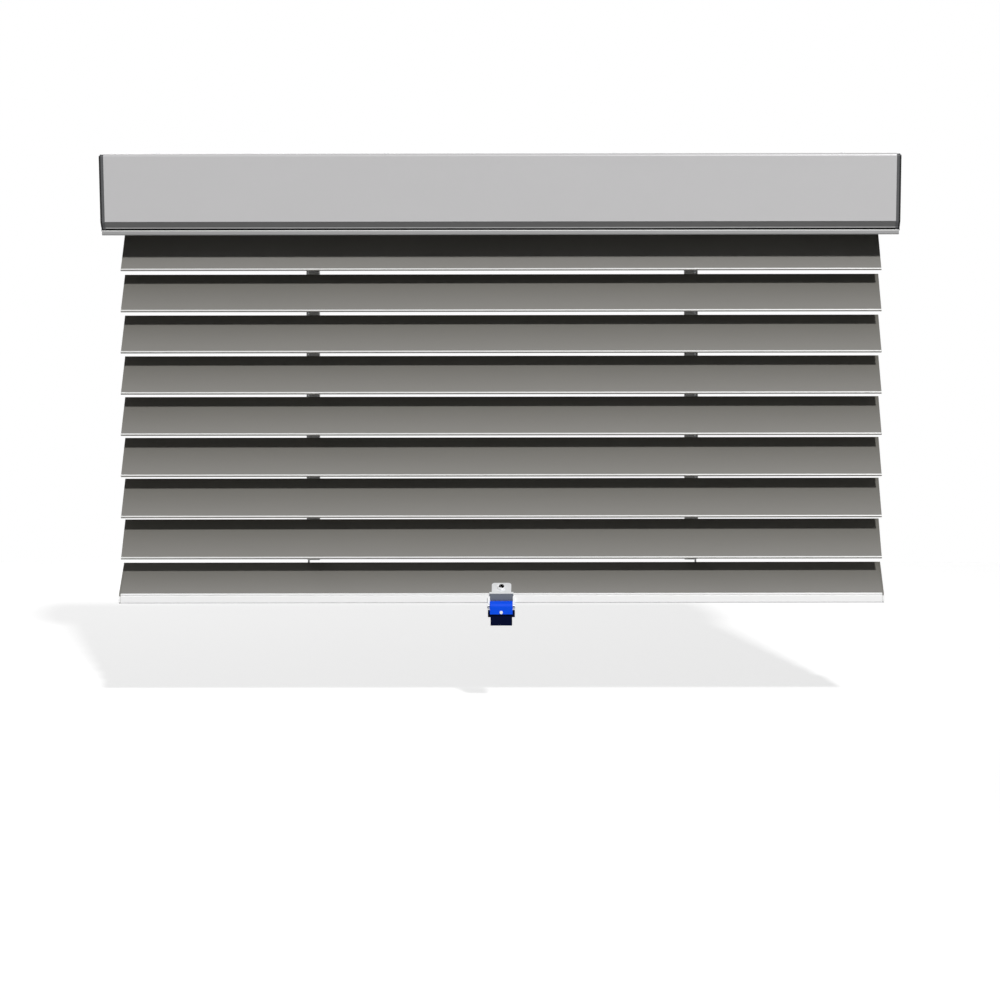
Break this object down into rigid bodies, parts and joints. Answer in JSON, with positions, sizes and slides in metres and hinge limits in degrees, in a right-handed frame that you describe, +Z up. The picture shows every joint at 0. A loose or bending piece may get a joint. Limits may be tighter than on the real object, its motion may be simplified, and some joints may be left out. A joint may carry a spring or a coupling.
{
  "type": "exterior slat blind",
  "caption": "Wall-mounted exterior slat blind: a boxed head with a motor and tapes lifts and tilts a column of slats above a weighted bottom rail with a hinged pull grip.",
  "frame": {"origin": "centre of the four wall bolts, on the wall plane, at half the box height", "axes": "+X along the blind to the right, +Y into the wall, +Z up; the front faces -Y"},
  "size_m": [1.384, 0.1611, 0.8215],
  "materials": {
    "silver_paint": "satin painted",
    "cap_plastic": "fine grain",
    "seal_rubber": "matt",
    "zinc_steel": "zinc plated",
    "head_alu": "mill finish",
    "motor_case": "painted",
    "slat_paint": "satin painted",
    "rail_alu": "anodised",
    "tape_cloth": "woven",
    "link_plastic": "moulded",
    "grip_blue": "gloss",
    "tongue_navy": "satin"
  },
  "bodies": {
    "head_box": {"back_plate": "silver_paint", "top_panel": "silver_paint", "front_cover": "silver_paint", "cover_seal": "seal_rubber", "bottom_profile": "silver_paint", "lip_brackets": "zinc_steel", "end_cap_left": "cap_plastic", "end_cap_right": "cap_plastic", "end_cap_screws": "zinc_steel", "cover_screws": "zinc_steel", "cable_grommet": "seal_rubber", "head_rail": "head_alu", "rail_hangers": "zinc_steel", "hanger_bolts": "zinc_steel", "motor": "motor_case", "bearing_blocks": "link_plastic", "lift_tapes": "tape_cloth"},
    "drive": {"drive_shafts": "head_alu", "shaft_couplers": "zinc_steel", "tape_spools": "link_plastic"},
    "tilt_arms": {"tilt_arms": "link_plastic"},
    "tilt_tapes": {"tilt_tapes": "tape_cloth"},
    "rail_carrier": {"rail_carriers": "link_plastic"},
    "rail": {"rail_hinges": "zinc_steel", "bottom_slat": "slat_paint", "bottom_rail": "rail_alu", "rail_weight": "zinc_steel", "rail_end_caps": "slat_paint", "grip_bracket": "zinc_steel", "grip_screw": "zinc_steel", "grip_pin": "zinc_steel"},
    "grip": {"pull_grip": "grip_blue", "grip_tongue": "tongue_navy", "grip_rivet": "zinc_steel"},
    "carrier_1": {"slat_carriers_1": "link_plastic"},
    "slat_1": {"slat_1": "slat_paint", "slat_hinges_1": "zinc_steel"},
    "carrier_2": {"slat_carriers_2": "link_plastic"},
    "slat_2": {"slat_2": "slat_paint", "slat_hinges_2": "zinc_steel"},
    "carrier_3": {"slat_carriers_3": "link_plastic"},
    "slat_3": {"slat_3": "slat_paint", "slat_hinges_3": "zinc_steel"},
    "carrier_4": {"slat_carriers_4": "link_plastic"},
    "slat_4": {"slat_4": "slat_paint", "slat_hinges_4": "zinc_steel"},
    "carrier_5": {"slat_carriers_5": "link_plastic"},
    "slat_5": {"slat_5": "slat_paint", "slat_hinges_5": "zinc_steel"},
    "carrier_6": {"slat_carriers_6": "link_plastic"},
    "slat_6": {"slat_6": "slat_paint", "slat_hinges_6": "zinc_steel"},
    "carrier_7": {"slat_carriers_7": "link_plastic"},
    "slat_7": {"slat_7": "slat_paint", "slat_hinges_7": "zinc_steel"},
    "carrier_8": {"slat_carriers_8": "link_plastic"},
    "slat_8": {"slat_8": "slat_paint", "slat_hinges_8": "zinc_steel"}
  },
  "joints": [
    {"name": "blind_lift", "type": "slide", "parent": "head_box", "child": "rail_carrier", "axis": [0, 0, 1], "range_m": [0, 0.524], "deforming": ["lift_tapes", "tilt_tapes"]},
    {"name": "slat_tilt", "type": "hinge", "parent": "rail_carrier", "child": "rail", "pos_m": [0, -0.042, -0.6385], "axis": [1, 0, 0], "range_deg": [-55, 15]},
    {"name": "grip_swing", "type": "hinge", "parent": "rail", "child": "grip", "pos_m": [0, -0.1135, -0.71648], "axis": [1, 0, 0], "range_deg": [-85, 10]},
    {"name": "spool_spin", "type": "hinge", "parent": "head_box", "child": "drive", "pos_m": [0, -0.042, 0.038], "axis": [1, 0, 0], "range_deg": [0, 2060]},
    {"name": "arm_tilt", "type": "hinge", "parent": "head_box", "child": "tilt_arms", "pos_m": [0, -0.042, 0.038], "axis": [1, 0, 0], "range_deg": [-55, 15]},
    {"name": "tape_level", "type": "hinge", "parent": "tilt_arms", "child": "tilt_tapes", "pos_m": [0, -0.02321, 0.04484], "axis": [1, 0, 0], "range_deg": [-15, 55]},
    {"name": "slat_1_lift", "type": "slide", "parent": "head_box", "child": "carrier_1", "axis": [0, 0, 1], "range_m": [0, 0.06]},
    {"name": "slat_1_tilt", "type": "hinge", "parent": "carrier_1", "child": "slat_1", "pos_m": [0, -0.042, -0.0625], "axis": [1, 0, 0], "range_deg": [-55, 15]},
    {"name": "slat_2_lift", "type": "slide", "parent": "head_box", "child": "carrier_2", "axis": [0, 0, 1], "range_m": [0, 0.122]},
    {"name": "slat_2_tilt", "type": "hinge", "parent": "carrier_2", "child": "slat_2", "pos_m": [0, -0.042, -0.1345], "axis": [1, 0, 0], "range_deg": [-55, 15]},
    {"name": "slat_3_lift", "type": "slide", "parent": "head_box", "child": "carrier_3", "axis": [0, 0, 1], "range_m": [0, 0.184]},
    {"name": "slat_3_tilt", "type": "hinge", "parent": "carrier_3", "child": "slat_3", "pos_m": [0, -0.042, -0.2065], "axis": [1, 0, 0], "range_deg": [-55, 15]},
    {"name": "slat_4_lift", "type": "slide", "parent": "head_box", "child": "carrier_4", "axis": [0, 0, 1], "range_m": [0, 0.246]},
    {"name": "slat_4_tilt", "type": "hinge", "parent": "carrier_4", "child": "slat_4", "pos_m": [0, -0.042, -0.2785], "axis": [1, 0, 0], "range_deg": [-55, 15]},
    {"name": "slat_5_lift", "type": "slide", "parent": "head_box", "child": "carrier_5", "axis": [0, 0, 1], "range_m": [0, 0.308]},
    {"name": "slat_5_tilt", "type": "hinge", "parent": "carrier_5", "child": "slat_5", "pos_m": [0, -0.042, -0.3505], "axis": [1, 0, 0], "range_deg": [-55, 15]},
    {"name": "slat_6_lift", "type": "slide", "parent": "head_box", "child": "carrier_6", "axis": [0, 0, 1], "range_m": [0, 0.37]},
    {"name": "slat_6_tilt", "type": "hinge", "parent": "carrier_6", "child": "slat_6", "pos_m": [0, -0.042, -0.4225], "axis": [1, 0, 0], "range_deg": [-55, 15]},
    {"name": "slat_7_lift", "type": "slide", "parent": "head_box", "child": "carrier_7", "axis": [0, 0, 1], "range_m": [0, 0.432]},
    {"name": "slat_7_tilt", "type": "hinge", "parent": "carrier_7", "child": "slat_7", "pos_m": [0, -0.042, -0.4945], "axis": [1, 0, 0], "range_deg": [-55, 15]},
    {"name": "slat_8_lift", "type": "slide", "parent": "head_box", "child": "carrier_8", "axis": [0, 0, 1], "range_m": [0, 0.494]},
    {"name": "slat_8_tilt", "type": "hinge", "parent": "carrier_8", "child": "slat_8", "pos_m": [0, -0.042, -0.5665], "axis": [1, 0, 0], "range_deg": [-55, 15]}
  ],
  "couplings": [
    {"joint": "spool_spin", "follows": "blind_lift", "rad_per_m": 68.027},
    {"joint": "arm_tilt", "follows": "slat_tilt", "ratio": 1},
    {"joint": "tape_level", "follows": "slat_tilt", "ratio": -1},
    {"joint": "slat_1_lift", "follows": "blind_lift", "ratio": 0.1145},
    {"joint": "slat_1_tilt", "follows": "slat_tilt", "ratio": 1},
    {"joint": "slat_2_lift", "follows": "blind_lift", "ratio": 0.23282},
    {"joint": "slat_2_tilt", "follows": "slat_tilt", "ratio": 1},
    {"joint": "slat_3_lift", "follows": "blind_lift", "ratio": 0.35114},
    {"joint": "slat_3_tilt", "follows": "slat_tilt", "ratio": 1},
    {"joint": "slat_4_lift", "follows": "blind_lift", "ratio": 0.46947},
    {"joint": "slat_4_tilt", "follows": "slat_tilt", "ratio": 1},
    {"joint": "slat_5_lift", "follows": "blind_lift", "ratio": 0.58779},
    {"joint": "slat_5_tilt", "follows": "slat_tilt", "ratio": 1},
    {"joint": "slat_6_lift", "follows": "blind_lift", "ratio": 0.70611},
    {"joint": "slat_6_tilt", "follows": "slat_tilt", "ratio": 1},
    {"joint": "slat_7_lift", "follows": "blind_lift", "ratio": 0.82443},
    {"joint": "slat_7_tilt", "follows": "slat_tilt", "ratio": 1},
    {"joint": "slat_8_lift", "follows": "blind_lift", "ratio": 0.94275},
    {"joint": "slat_8_tilt", "follows": "slat_tilt", "ratio": 1}
  ]
}
